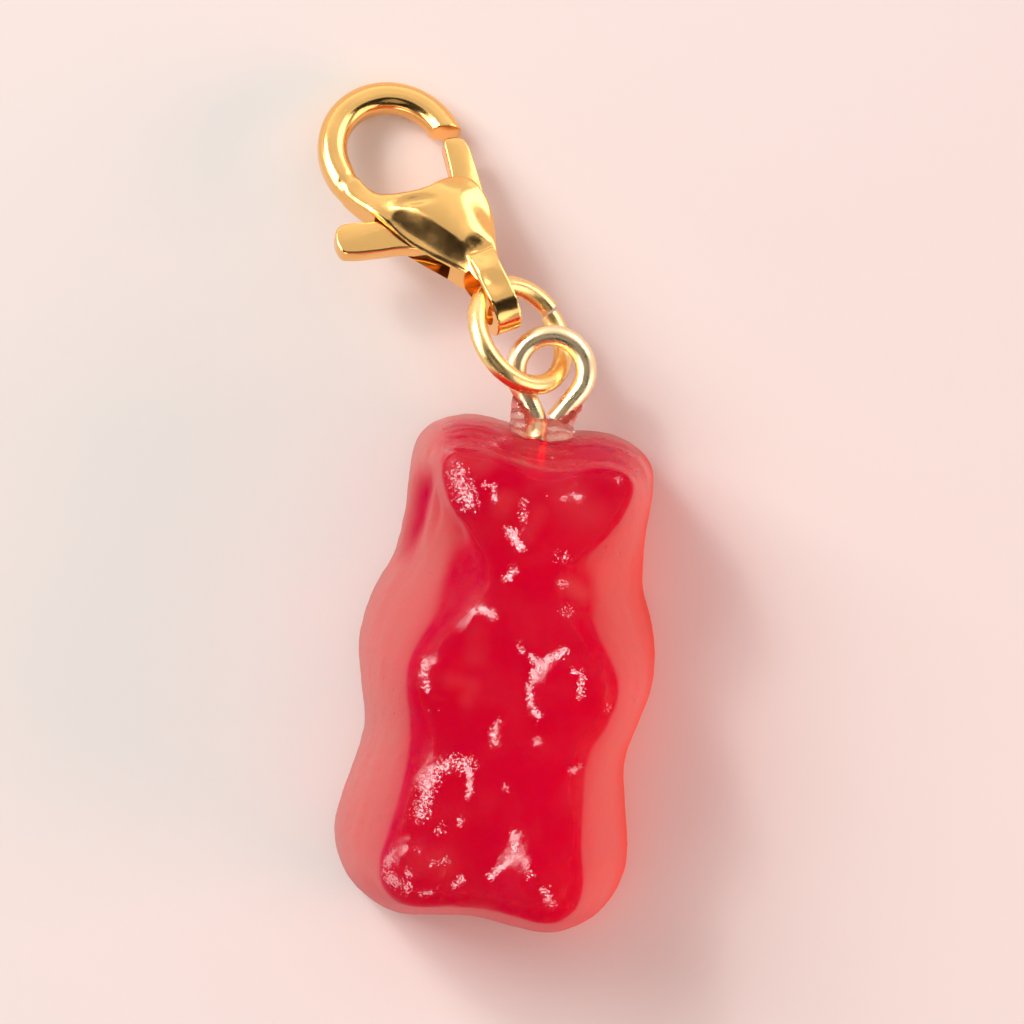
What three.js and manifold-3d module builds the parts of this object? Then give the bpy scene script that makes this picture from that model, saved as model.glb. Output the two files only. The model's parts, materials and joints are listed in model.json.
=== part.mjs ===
// A gummy bear charm: a clear red resin bear lying on its flat back, with a screw eye
// glued into its head, a jump ring through the eye, and a lobster clasp on the ring.
// Millimetres, +Z up. The bear's head points along +Y, and the origin is the middle of its back.
import * as THREE from "three";
import { mergeVertices } from "three/addons/utils/BufferGeometryUtils.js";
import Module from "manifold-3d";

const wasm = await Module();
wasm.setup();

// ---------------------------------------------------------------- driving dimensions

const CLEARANCE = 0.12; // between pieces that turn in each other
const GLUE_CLEARANCE = 0.15; // between the glue and the wire that it holds
const SEAT_CLEARANCE = 0.3; // between the bear and what is set into it

// The bear. Each row is one landmark of its right-hand half, from the crown to the feet:
// x and y on the outline of the back, then x and y on the edge of the moulded front.
const BEAR_LANDMARKS = [
  [0.0, 9.9, 0.0, 8.25], // dip between the ears
  [1.4, 10.15, 1.1, 8.45],
  [2.9, 10.25, 2.85, 8.85], // top of the ear
  [4.35, 9.65, 3.8, 8.5],
  [4.95, 8.6, 3.95, 7.9], // side of the ear
  [4.93, 6.4, 3.45, 6.45], // cheek
  [5.05, 4.7, 2.35, 5.1],
  [5.25, 3.9, 1.9, 4.2], // neck
  [5.75, 2.7, 2.3, 3.1],
  [6.03, 1.4, 3.3, 1.8], // shoulder
  [6.03, 0.1, 4.25, 0.3], // arm
  [5.65, -1.5, 4.15, -1.3],
  [5.36, -2.9, 3.42, -2.85], // waist
  [5.62, -4.6, 3.62, -4.5],
  [6.02, -6.6, 3.85, -6.5], // hip
  [5.85, -7.9, 4.15, -7.9],
  [5.3, -8.95, 4.0, -8.9], // foot
  [4.4, -9.75, 3.5, -9.5],
  [3.1, -10.27, 2.8, -9.75], // sole
  [1.5, -10.15, 1.35, -9.55],
  [0.0, -9.97, 0.0, -9.4], // dip between the feet
];
const BEAR_FRONT_LEAN = [0.22, 0.45, 3.2]; // the paws sit this far right, at this y, over this length
const BEAR_OUTLINE_POINTS = 96;
// Levels of the flank: height, how far it has closed from the back to the front outline, inset.
const BEAR_LEVELS = [
  [0, 0, 0.42],
  [0.22, 0, 0.12],
  [0.6, 0, 0],
  [1.7, 0.03, 0],
  [3.2, 0.15, 0],
  [4.7, 0.4, 0],
  [5.7, 0.7, 0],
  [6.35, 0.94, 0],
];
// The front closes in steps from its edge to the middle line, and rises over a rounded rim.
const FRONT_SHARES = [1, 0.94, 0.85, 0.74, 0.62, 0.49, 0.35, 0.18, 0];
const FRONT_RIM = { height: 6.6, rise: 0.5, width: 0.9 };
const FRONT_MIDDLE_Y = [8.1, -8.7]; // the ends of the middle line
const RIM_SWELLING = 0.45; // the share of the relief that is left at the rim
// The swellings of the front: centre, half sizes across and along, height. A pair is mirrored.
const BEAR_SWELLINGS = [
  { name: "head", at: [0, 6.7], size: [4.6, 3.2], height: 0.75 },
  { name: "ear", at: [2.9, 7.7], size: [1.9, 1.7], height: 1.0, pair: true },
  { name: "snout", at: [0.05, 5.5], size: [1.7, 1.6], height: 1.3 },
  { name: "belly", at: [0.05, 0.3], size: [3.2, 4.2], height: 0.75 },
  { name: "lap", at: [0, -3.7], size: [2.5, 3.0], height: 0.3 },
  { name: "arm", at: [2.3, 1.6], size: [1.7, 2.2], height: 0.35, pair: true },
  { name: "paw", at: [2.75, -0.3], size: [2.0, 2.1], height: 0.95, pair: true },
  { name: "thigh", at: [2.25, -5.2], size: [1.9, 2.7], height: 0.85, pair: true },
  { name: "foot", at: [2.45, -8.0], size: [2.15, 2.1], height: 1.4, pair: true },
];
const SWELLING_BLEND = 3; // how closely two swellings keep to the higher one where they meet
const SWELLING_SHOULDER = 1.2; // below 1 a swelling has a fuller edge
// What stands on the swellings.
const BEAR_BUTTONS = [
  { name: "eye", at: [1.5, 6.9], size: [0.9, 0.85], height: 0.35, pair: true },
];

const WIRE_SIDES = 10;

// The screw eye: one wire, bent to an open loop that lies level, over a shank in the head.
const EYE_WIRE = 0.86;
const EYE_STEPS = 44;
const EYE_LOOP_RADIUS = 1.42; // to the middle of the wire
const EYE_CENTRE = new THREE.Vector3(0.07, 12.36, 3.95);
const EYE_ARC_DEG = [229, -52]; // from the shank's side round the top to the cut end
const EYE_CUT_END = [0.5, 10.76];
const SHANK_X = -0.1;
const SHANK_TIP_Y = 7.6;
const SHANK_NECK_Y = [9.6, 10.2];
const SHANK_NECK_LEAN = 0.12; // how far the neck bends towards the loop's near side

// The glue that runs up both legs of the eye: centre, then radii.
const GLUE_LOBES = [
  [[-0.05, 10.25, 3.9], [1.65, 0.8, 1.25]],
  [[-0.85, 10.8, 3.85], [0.8, 0.78, 0.75]],
  [[0.95, 10.6, 3.85], [0.9, 0.62, 0.8]],
];

// The jump ring, tilted so that it passes over the eye's left side and under its right side.
const RING_WIRE = 0.8;
const RING_STEPS = 48;
const RING_RADIUS = 2.2; // to the middle of the wire
const RING_CENTRE = new THREE.Vector3(-1.35, 13.6, 4.06);
const RING_DOWNHILL_DEG = 42.8; // heading of the slope, from +X
const RING_TILT_DEG = 45;
const RING_GAP_DEG = 4;
const RING_GAP_AT_DEG = 88; // counted from the level axis towards downhill
const RING_END_STEP = 0.16; // how far the two cut ends stand apart across the ring

// The lobster clasp, in its own frame: u across it, v from the strap towards the hook, w its thickness.
const CLASP_ORIGIN = [-4.28, 18.88]; // where the middle of its belly is, seen from above
const CLASP_HEADING_DEG = 33; // v from +Y, towards -X
const CLASP_PITCH_DEG = 21; // the hook end is low
const CLASP_ROLL_DEG = 15; // the thumb tab's side is high
const HOOK_CENTRE = [-2, 2.9];
const HOOK_RADII = [2.43, 2.54]; // to the middle of the band
const HOOK_BAND = { width: 1.08, thickness: 1.25, round: 0.3 };
const HOOK_ARC_DEG = [-2, 214];
const HOOK_STEPS = 30;
const BELLY_CENTRE = [-1.5, -0.9];
const BELLY_OUTLINE = [
  [-4, 2.2],
  [-3.76, 1.63],
  [-3.51, 1.22],
  [-3.05, 0.9],
  [-2.54, 0.71],
  [-2.06, 0.61],
  [-1.5, 0.59],
  [-0.92, 0.68],
  [-0.38, 0.71],
  [0.02, 0.6],
  [0.32, 0.3],
  [0.5, -0.3],
  [0.56, -0.9],
  [0.5, -1.4],
  [0.3, -2.1],
  [0.02, -2.8],
  [-0.22, -3.6],
  [-0.4, -4],
  [-1.25, -4],
  [-1.6, -3.55],
  [-2.1, -2.85],
  [-2.65, -2.15],
  [-3.38, -1.05],
  [-3.85, 0],
  [-4.2, 0.62],
  [-4.5, 1.15],
  [-4.68, 1.8],
];
const BELLY_OUTLINE_POINTS = 44;
const BELLY_SHARES = [1, 0.92, 0.7, 0.38]; // steps from its edge to its middle
const BELLY_EDGE_HALF = 0.9;
const BELLY_CROWN_HALF = 1.22;
const BELLY_LIP_HALF = 0.62; // where it runs out into the hook
const BELLY_LIP_V = [-0.4, 1.9];
const STRAP = { u: [-1.28, -0.24], back: -3.0, end: -6.05, half: 1.12, eye: [-5.6, -3.45], eyeHalf: 0.84 };
const STRAP_EDGE = 0.12;
const STRAP_EYE_CORNER = 0.35;
const STRAP_EYE_SPAN = [-3, 2]; // right through the strap and the narrow end of the belly
const LEVER_THICKNESS = 0.8;
const LEVER_EDGE = 0.07;
const LEVER_OPEN_DEG = 26;
const LEVER_PIVOT = [0.12, -0.15];
const LEVER_ROOM_STEPS = 7; // places between shut and open that its room is cut at
const ROOM_EDGE = 0.04;
const LEVER_OUTLINE = [
  [0.06, 2.44],
  [0.34, 2.57],
  [0.72, 2.45],
  [0.95, 2.1],
  [0.9, 1.34],
  [0.75, 0.34],
  [0.6, -0.4],
  [0.3, -1.1],
  [-0.3, -1.75],
  [-1.2, -2.15],
  [-1.95, -2.2],
  [-2.6, -1.8],
  [-3.4, -1.4],
  [-4.5, -1.14],
  [-5.5, -0.86],
  [-5.86, -0.42],
  [-5.8, 0.05],
  [-5.28, 0.46],
  [-4.3, 0.2],
  [-2.8, -0.1],
  [-1.4, -0.2],
  [-0.62, 0.1],
  [-0.32, 0.8],
  [-0.02, 2.1],
];
const SIDE_SLOT_OUTLINE = [
  [-5.2, 0.2],
  [-4.3, 0.45],
  [-3.2, 0.1],
  [-1.3, -2.3],
  [-1.5, -3.1],
  [-2.8, -2.9],
  [-4.6, -1.3],
];
const PIN_RADIUS = 0.3;
const PIN_SPAN = [-0.96, 0.78]; // its head shows at the back, and the front is closed over it

// ---------------------------------------------------------------- materials

const redResin = new THREE.MeshStandardMaterial({ color: 0xc8001e, roughness: 0.12, metalness: 0 });
const clearGlue = new THREE.MeshStandardMaterial({ color: 0xf0dcd2, roughness: 0.1, metalness: 0 });
const paleGold = new THREE.MeshStandardMaterial({ color: 0xe6c48c, roughness: 0.2, metalness: 1 });
const polishedGold = new THREE.MeshStandardMaterial({ color: 0xe6b464, roughness: 0.12, metalness: 1 });

// ---------------------------------------------------------------- helpers

const radians = THREE.MathUtils.degToRad;

// A closed geometry as a solid that can be joined and cut.
function solid(geometry) {
  const samePoint = 1e-5;
  const bare = geometry.clone();
  bare.deleteAttribute("normal");
  bare.deleteAttribute("uv");
  const merged = mergeVertices(bare, samePoint);
  return new wasm.Manifold(
    new wasm.Mesh({
      numProp: 3,
      vertProperties: merged.attributes.position.array,
      triVerts: new Uint32Array(merged.index.array),
    }),
  );
}

function geometryOf(body) {
  const mesh = body.getMesh();
  const geometry = new THREE.BufferGeometry();
  geometry.setAttribute("position", new THREE.BufferAttribute(mesh.vertProperties, 3));
  geometry.setIndex(new THREE.BufferAttribute(mesh.triVerts, 1));
  geometry.computeVertexNormals();
  return geometry;
}

const union = (bodies) => bodies.reduce((whole, body) => whole.add(body));

function node(name, body, material) {
  const mesh = new THREE.Mesh(geometryOf(body), material.clone());
  mesh.name = name;
  return mesh;
}

function ellipsoid(centre, radii) {
  const [around, up] = [18, 10];
  const geometry = new THREE.SphereGeometry(1, around, up);
  geometry.scale(...radii);
  geometry.translate(...centre);
  return solid(geometry);
}

// A wire of round section along a curve.
function wire(curve, diameter, steps) {
  const section = new THREE.Shape();
  for (let i = 0; i < WIRE_SIDES; i++) {
    const angle = (2 * Math.PI * i) / WIRE_SIDES;
    const x = (Math.cos(angle) * diameter) / 2;
    const y = (Math.sin(angle) * diameter) / 2;
    if (i) section.lineTo(x, y);
    else section.moveTo(x, y);
  }
  return solid(
    new THREE.ExtrudeGeometry(section, { steps, extrudePath: curve, curveSegments: 1 }),
  );
}

// A solid through a stack of outlines with the same number of points, the lowest first.
// The last one needs no cap where it is folded onto a line.
function loft(rings, capped = true) {
  const count = rings[0].length;
  const corners = rings.flat();
  const triangles = [];
  for (let level = 0; level + 1 < rings.length; level++)
    for (let i = 0; i < count; i++) {
      const a = level * count + i;
      const b = level * count + ((i + 1) % count);
      const [c, d] = [b + count, a + count];
      // the four corners are split along their shorter diagonal
      if (corners[a].distanceTo(corners[c]) < corners[b].distanceTo(corners[d]))
        triangles.push(a, b, c, a, c, d);
      else triangles.push(a, b, d, b, c, d);
    }
  const cap = (ring) => THREE.ShapeUtils.triangulateShape(ring, []);
  const last = (rings.length - 1) * count;
  for (const [a, b, c] of cap(rings[0])) triangles.push(a, c, b);
  if (capped)
    for (const [a, b, c] of cap(rings.at(-1))) triangles.push(last + a, last + b, last + c);
  const geometry = new THREE.BufferGeometry().setFromPoints(corners);
  geometry.setIndex(triangles);
  return solid(geometry);
}

// A plate of one outline, centred on w = 0, with its edges rounded off inside its thickness.
// growth is how far it stands out beyond the outline.
function plate(outline, thickness, edge, growth = 0) {
  const shape = new THREE.Shape(outline.map(([u, v]) => new THREE.Vector2(u, v)));
  const geometry = new THREE.ExtrudeGeometry(shape, {
    depth: thickness - 2 * edge,
    bevelThickness: edge,
    bevelSize: edge,
    bevelOffset: growth - edge,
    bevelSegments: 2,
  });
  geometry.translate(0, 0, edge - thickness / 2);
  return solid(geometry);
}

function cylinder(radius, length, segments = 20) {
  const geometry = new THREE.CylinderGeometry(radius, radius, length, segments);
  geometry.rotateX(Math.PI / 2);
  return solid(geometry);
}

// ---------------------------------------------------------------- the bear

// How far the paws' lean moves what lies at this y.
function leanAt(y) {
  const [lean, middle, length] = BEAR_FRONT_LEAN;
  return lean * Math.exp(-(((y - middle) / length) ** 2));
}

// One outline of the bear, seen from the front: the back's in column 0, the front's in column 2.
function bearOutline(column) {
  const half = BEAR_LANDMARKS.map((row) => [row[column], row[column + 1]]);
  const mirrored = half.slice(1, -1).reverse().map(([x, y]) => [-x, y]);
  const points = [...half, ...mirrored].map(([x, y]) => new THREE.Vector3(x, y, 0));
  const curve = new THREE.CatmullRomCurve3(points, true, "catmullrom", 0.5);
  return Array.from({ length: BEAR_OUTLINE_POINTS }, (_, i) => curve.getPoint(-i / BEAR_OUTLINE_POINTS));
}

// How far inside an oval a place is, from 0 on its edge to 1 at its centre.
function insideOval({ at, size }, side, x, y) {
  return Math.max(0, 1 - ((x - side * at[0]) / size[0]) ** 2 - ((y - at[1]) / size[1]) ** 2);
}

// The height of the relief on the front.
function reliefAt(x, y) {
  let swellings = 0;
  let buttons = 0;
  for (const side of [1, -1]) {
    for (const lobe of BEAR_SWELLINGS.filter(({ pair }) => pair || side === 1))
      swellings += (lobe.height * insideOval(lobe, side, x, y) ** SWELLING_SHOULDER) ** SWELLING_BLEND;
    for (const button of BEAR_BUTTONS) buttons += button.height * insideOval(button, side, x, y);
  }
  return swellings ** (1 / SWELLING_BLEND) + buttons;
}

function inset(ring, depth) {
  return ring.map((point, i) => {
    const along = ring[(i + 1) % ring.length].clone().sub(ring.at(i - 1)).normalize();
    return new THREE.Vector3(point.x - along.y * depth, point.y + along.x * depth, point.z);
  });
}

// One step of the front: the share is 1 on its edge and 0 on the middle line, where the sides meet.
function frontRing(outline, share) {
  const count = outline.length;
  return outline.map((edge, i) => {
    const opposite = outline[(count - i) % count];
    const fromCrown = Math.min(i, count - i) / (count / 2);
    const middleY = THREE.MathUtils.lerp(...FRONT_MIDDLE_Y, fromCrown);
    const x = edge.x * share;
    const y = THREE.MathUtils.lerp(middleY, (edge.y + opposite.y) / 2, share);
    const fromEdge = Math.min(1, Math.hypot(edge.x - x, edge.y - y) / FRONT_RIM.width);
    const rounded = Math.sqrt(1 - (1 - fromEdge) ** 2);
    const swelling = reliefAt(x, y) * THREE.MathUtils.lerp(RIM_SWELLING, 1, rounded);
    return new THREE.Vector3(x + leanAt(y), y, FRONT_RIM.height + FRONT_RIM.rise * rounded + swelling);
  });
}

function wholeBear() {
  const back = bearOutline(0);
  const front = bearOutline(2);
  const leaning = front.map(({ x, y }) => new THREE.Vector3(x + leanAt(y), y, 0));
  const flank = BEAR_LEVELS.map(([height, closed, depth]) => {
    const ring = back.map((point, i) => point.clone().lerp(leaning[i], closed).setZ(height));
    return inset(ring, depth);
  });
  const face = FRONT_SHARES.map((share) => frontRing(front, share));
  return loft([...flank, ...face], false);
}

function shankRoom() {
  const length = 12;
  return cylinder(EYE_WIRE / 2 + SEAT_CLEARANCE, length)
    .rotate([90, 0, 0])
    .translate([SHANK_X, SHANK_TIP_Y - SEAT_CLEARANCE + length / 2, EYE_CENTRE.z]);
}

// ---------------------------------------------------------------- screw eye and glue

// longer is how much further the wire runs past its cut end.
function eyeCurve(longer) {
  const level = EYE_CENTRE.z;
  const cutEnd = new THREE.Vector3(...EYE_CUT_END, level);
  const inward = new THREE.Vector3(SHANK_X, SHANK_NECK_Y[1], level).sub(cutEnd).setLength(longer);
  const arc = [];
  const [from, to] = EYE_ARC_DEG;
  const turns = 12;
  for (let i = 0; i <= turns; i++) {
    const angle = radians(from + ((to - from) * i) / turns);
    arc.push(
      new THREE.Vector3(
        EYE_CENTRE.x + EYE_LOOP_RADIUS * Math.cos(angle),
        EYE_CENTRE.y + EYE_LOOP_RADIUS * Math.sin(angle),
        level,
      ),
    );
  }
  return new THREE.CatmullRomCurve3(
    [
      new THREE.Vector3(SHANK_X, SHANK_TIP_Y, level),
      new THREE.Vector3(SHANK_X, (SHANK_TIP_Y + SHANK_NECK_Y[0]) / 2, level),
      ...SHANK_NECK_Y.map((y, i) => new THREE.Vector3(SHANK_X - SHANK_NECK_LEAN * i, y, level)),
      ...arc,
      cutEnd.add(inward),
    ],
    false,
    "centripetal",
  );
}

const screwEye = (room = 0) => wire(eyeCurve(room), EYE_WIRE + 2 * room, EYE_STEPS);

function glue(bear) {
  const lobes = GLUE_LOBES.map(([centre, radii]) => ellipsoid(centre, radii));
  const growth = 1 + SEAT_CLEARANCE / BEAR_LANDMARKS[0][1];
  const grownBear = bear
    .translate([0, 0, -EYE_CENTRE.z])
    .scale([growth, growth, growth])
    .translate([0, 0, EYE_CENTRE.z]);
  return union(lobes)
    .subtract(screwEye(GLUE_CLEARANCE))
    .subtract(grownBear);
}

// ---------------------------------------------------------------- jump ring

function jumpRing() {
  const heading = radians(RING_DOWNHILL_DEG);
  const tilt = radians(RING_TILT_DEG);
  const downhill = new THREE.Vector3(
    Math.cos(heading) * Math.cos(tilt),
    Math.sin(heading) * Math.cos(tilt),
    -Math.sin(tilt),
  );
  const level = new THREE.Vector3(-Math.sin(heading), Math.cos(heading), 0);
  const normal = new THREE.Vector3().crossVectors(downhill, level);
  const turns = 24;
  const sweep = 360 - RING_GAP_DEG;
  const points = Array.from({ length: turns + 1 }, (_, i) => {
    const angle = radians(RING_GAP_AT_DEG + RING_GAP_DEG / 2 + (sweep * i) / turns);
    return RING_CENTRE.clone()
      .addScaledVector(level, RING_RADIUS * Math.cos(angle))
      .addScaledVector(downhill, RING_RADIUS * Math.sin(angle))
      .addScaledVector(normal, RING_END_STEP * (i / turns - 0.5));
  });
  return wire(new THREE.CatmullRomCurve3(points), RING_WIRE, RING_STEPS);
}

// ---------------------------------------------------------------- lobster clasp

class HookCurve extends THREE.Curve {
  getPoint(t, target = new THREE.Vector3()) {
    const angle = radians(THREE.MathUtils.lerp(...HOOK_ARC_DEG, t));
    return target.set(
      HOOK_CENTRE[0] + HOOK_RADII[0] * Math.cos(angle),
      HOOK_CENTRE[1] + HOOK_RADII[1] * Math.sin(angle),
      0,
    );
  }
}

function hook() {
  const { width, thickness, round } = HOOK_BAND;
  const x = thickness / 2 - round;
  const y = width / 2 - round;
  const section = new THREE.Shape();
  section.absarc(x, y, round, 0, Math.PI / 2);
  section.absarc(-x, y, round, Math.PI / 2, Math.PI);
  section.absarc(-x, -y, round, Math.PI, 1.5 * Math.PI);
  section.absarc(x, -y, round, 1.5 * Math.PI, 2 * Math.PI);
  return solid(
    new THREE.ExtrudeGeometry(section, {
      steps: HOOK_STEPS,
      extrudePath: new HookCurve(),
      curveSegments: 2,
    }),
  );
}

function belly() {
  const outline = BELLY_OUTLINE.map(([u, v]) => new THREE.Vector3(u, v, 0));
  const curve = new THREE.CatmullRomCurve3(outline, true, "centripetal");
  const edge = curve.getPoints(BELLY_OUTLINE_POINTS).slice(0, -1);
  if (THREE.ShapeUtils.isClockWise(edge)) edge.reverse();
  const centre = new THREE.Vector3(...BELLY_CENTRE, 0);
  const half = (point, share) => {
    const crown = BELLY_CROWN_HALF - BELLY_EDGE_HALF;
    const full = BELLY_EDGE_HALF + crown * Math.sqrt(1 - share ** 2);
    const lip = THREE.MathUtils.smoothstep(point.y, ...BELLY_LIP_V);
    return THREE.MathUtils.lerp(full, BELLY_LIP_HALF, lip);
  };
  const face = (side) =>
    BELLY_SHARES.map((share) =>
      edge.map((point) => {
        const here = centre.clone().lerp(point, share);
        here.z = side * half(here, share);
        return here;
      }),
    );
  return loft([...face(-1).reverse(), ...face(1)]);
}

// An outline in the clasp's v-w plane, pushed along u.
function across(profile, from, to, round) {
  const geometry = new THREE.ExtrudeGeometry(profile, {
    depth: to - from - 2 * round,
    bevelEnabled: round > 0,
    bevelThickness: round,
    bevelSize: round,
    bevelOffset: -round,
    bevelSegments: 2,
    curveSegments: 8,
  });
  // the profile's x is v, its y is w, and the push is along u
  geometry.applyMatrix4(new THREE.Matrix4().set(0, 0, 1, from + round, 1, 0, 0, 0, 0, 1, 0, 0, 0, 0, 0, 1));
  return solid(geometry);
}

function strap() {
  const { u, back, end, half } = STRAP;
  const profile = new THREE.Shape();
  profile.moveTo(back, -half);
  profile.absarc(end + half, 0, half, 1.5 * Math.PI, Math.PI / 2, true);
  profile.lineTo(back, half);
  return across(profile, ...u, STRAP_EDGE);
}

// The eye that the jump ring passes through, from side to side.
function strapEye() {
  const { eye, eyeHalf } = STRAP;
  const corner = STRAP_EYE_CORNER;
  const hole = new THREE.Shape();
  hole.absarc(eye[0] + eyeHalf, 0, eyeHalf, Math.PI / 2, 1.5 * Math.PI);
  hole.absarc(eye[1] - corner, corner - eyeHalf, corner, 1.5 * Math.PI, 2 * Math.PI);
  hole.absarc(eye[1] - corner, eyeHalf - corner, corner, 0, Math.PI / 2);
  return across(hole, ...STRAP_EYE_SPAN, 0);
}

// A piece of the clasp turned about the lever's pivot.
function turned(body, degrees) {
  const [u, v] = LEVER_PIVOT;
  return body.translate([-u, -v, 0]).rotate([0, 0, degrees]).translate([u, v, 0]);
}

function lever() {
  const pinHole = cylinder(PIN_RADIUS + CLEARANCE, 2 * LEVER_THICKNESS).translate([...LEVER_PIVOT, 0]);
  return plate(LEVER_OUTLINE, LEVER_THICKNESS, LEVER_EDGE).subtract(pinHole);
}

function leverRoom() {
  const height = LEVER_THICKNESS + 2 * CLEARANCE;
  const room = plate(LEVER_OUTLINE, height, ROOM_EDGE, CLEARANCE);
  const places = Array.from({ length: LEVER_ROOM_STEPS }, (_, i) =>
    turned(room, (LEVER_OPEN_DEG * i) / (LEVER_ROOM_STEPS - 1)),
  );
  return union([...places, plate(SIDE_SLOT_OUTLINE, height, ROOM_EDGE)]);
}

function pin() {
  const [low, high] = PIN_SPAN;
  return cylinder(PIN_RADIUS, high - low).translate([...LEVER_PIVOT, (low + high) / 2]);
}

function claspBody() {
  // the pin's seat runs out of the back
  const [seatTop, seatLength] = [PIN_SPAN[1] + CLEARANCE, 4];
  const seatMiddle = [...LEVER_PIVOT, seatTop - seatLength / 2];
  const pinSeat = cylinder(PIN_RADIUS + CLEARANCE, seatLength).translate(seatMiddle);
  return [leverRoom(), pinSeat, strapEye()].reduce(
    (body, room) => body.subtract(room),
    union([hook(), belly(), strap()]),
  );
}

// ---------------------------------------------------------------- assembly

const charm = new THREE.Group();
const bear = wholeBear();
charm.add(node("bear", bear.subtract(shankRoom()), redResin));
charm.add(node("glue", glue(bear), clearGlue));
charm.add(node("screw_eye", screwEye(), paleGold));
charm.add(node("jump_ring", jumpRing(), polishedGold));

const clasp = new THREE.Group();
clasp.add(node("clasp_body", claspBody(), polishedGold));
clasp.add(node("clasp_lever", lever(), polishedGold));
clasp.add(node("clasp_pin", pin(), polishedGold));
clasp.rotation.order = "ZXY";
clasp.rotation.set(radians(-CLASP_PITCH_DEG), radians(CLASP_ROLL_DEG), radians(CLASP_HEADING_DEG));
clasp.position.set(...CLASP_ORIGIN, 0);
clasp.updateMatrixWorld(true);
// the hook's lowest edge rests on the surface that the bear lies on
clasp.position.z = -new THREE.Box3().setFromObject(clasp, true).min.z;
charm.add(clasp);

export default charm;
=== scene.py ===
"""A gummy bear charm: a clear red resin bear on its back, a screw eye glued into its head,
a jump ring through the eye and a gold lobster clasp on the ring. Sizes are written in
millimetres and turned to metres by MM. The clasp is modelled lying flat in its own frame
(u across, v from the strap to the hook, w up) and then put where its node is."""

import json
import math

import bpy
import numpy as np
from mathutils import Matrix, Vector

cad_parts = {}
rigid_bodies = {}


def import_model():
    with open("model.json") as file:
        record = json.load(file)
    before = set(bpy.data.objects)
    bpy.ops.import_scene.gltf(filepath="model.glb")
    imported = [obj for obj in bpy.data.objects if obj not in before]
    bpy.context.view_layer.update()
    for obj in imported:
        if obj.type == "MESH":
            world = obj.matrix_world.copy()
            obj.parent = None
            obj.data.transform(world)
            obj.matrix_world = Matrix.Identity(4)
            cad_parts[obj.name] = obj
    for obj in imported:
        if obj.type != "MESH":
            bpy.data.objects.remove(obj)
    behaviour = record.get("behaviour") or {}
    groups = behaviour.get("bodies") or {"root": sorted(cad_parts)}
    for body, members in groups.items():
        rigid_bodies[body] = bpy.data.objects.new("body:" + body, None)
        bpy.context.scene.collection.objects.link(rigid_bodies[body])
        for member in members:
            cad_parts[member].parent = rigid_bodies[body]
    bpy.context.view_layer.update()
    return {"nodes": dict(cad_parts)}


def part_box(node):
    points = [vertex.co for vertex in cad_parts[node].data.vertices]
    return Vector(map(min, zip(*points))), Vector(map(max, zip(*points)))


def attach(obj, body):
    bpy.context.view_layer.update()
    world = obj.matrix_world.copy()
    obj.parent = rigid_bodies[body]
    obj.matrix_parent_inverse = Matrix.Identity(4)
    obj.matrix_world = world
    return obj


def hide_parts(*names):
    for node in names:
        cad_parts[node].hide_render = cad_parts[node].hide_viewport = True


MM = 0.001
MERGE = 0.001  # points closer than this are one, in millimetres
CREASE = 50  # above this many degrees an edge is a corner, to bevel or to shade as one

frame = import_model()


# ---------------------------------------------------------------- modelling helpers


def only(*objects):
    """Selects these objects and nothing else; the first is the active one."""
    if bpy.context.object and bpy.context.object.mode != "OBJECT":
        bpy.ops.object.mode_set(mode="OBJECT")
    bpy.ops.object.select_all(action="DESELECT")
    for obj in objects:
        obj.select_set(True)
    bpy.context.view_layer.objects.active = objects[0]


def edit(obj):
    """Goes into edit mode with the whole mesh selected."""
    only(obj)
    bpy.ops.object.mode_set(mode="EDIT")
    bpy.ops.mesh.select_all(action="SELECT")


def settle(obj):
    """Puts an object's place, turn and scale into its mesh."""
    only(obj)
    bpy.ops.object.transform_apply(location=True, rotation=True, scale=True)
    return obj


def modify(obj, kind, **settings):
    """Adds one modifier and applies it."""
    only(obj)
    modifier = obj.modifiers.new(kind.title(), kind)
    for name, value in settings.items():
        setattr(modifier, name, value)
    bpy.ops.object.modifier_apply(modifier=modifier.name)


def join(name, pieces):
    """Makes one object of several, still as separate bodies in it."""
    only(*pieces)
    bpy.ops.object.join()
    joined = bpy.context.object
    joined.name = joined.data.name = name
    return joined


def fuse(obj, voxel, smoothing):
    """Melts overlapping bodies into one skin and rounds its edges."""
    modify(obj, "REMESH", mode="VOXEL", voxel_size=voxel * MM)
    modify(obj, "SMOOTH", factor=0.5, iterations=smoothing)


def cut(obj, cutter):
    """Takes the cutter's shape out of a piece and removes the cutter."""
    modify(obj, "BOOLEAN", operation="DIFFERENCE", solver="EXACT", object=cutter)
    bpy.data.objects.remove(cutter)


def ball(centre, radii, detail=4):
    """An oval body, from an icosphere."""
    middle = Vector(centre) * MM
    bpy.ops.mesh.primitive_ico_sphere_add(subdivisions=detail, radius=1, location=middle)
    body = bpy.context.object
    body.scale = Vector(radii) * MM
    return settle(body)


def disc(centre, radius, half, bevel=0.0):
    """A round plate that lies level; half is half its thickness."""
    bpy.ops.mesh.primitive_cylinder_add(
        vertices=64, radius=radius * MM, depth=2 * half * MM, location=Vector(centre) * MM
    )
    body = settle(bpy.context.object)
    if bevel:
        modify(body, "BEVEL", width=bevel * MM, segments=3, angle_limit=math.radians(CREASE))
    return body


def block(low, high):
    """A box between two corners."""
    low, high = Vector(low), Vector(high)
    bpy.ops.mesh.primitive_cube_add(size=1, location=(low + high) / 2 * MM)
    body = bpy.context.object
    body.scale = (high - low) * MM
    return settle(body)


def node_copy(node, name):
    """A copy of a CAD node's shape, with its loose triangles merged."""
    original = frame["nodes"][node]
    copy = bpy.data.objects.new(name, original.data.copy())
    bpy.context.collection.objects.link(copy)
    copy.data.materials.clear()
    edit(copy)
    bpy.ops.mesh.remove_doubles(threshold=MERGE * MM)
    bpy.ops.object.mode_set(mode="OBJECT")
    return copy


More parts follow.
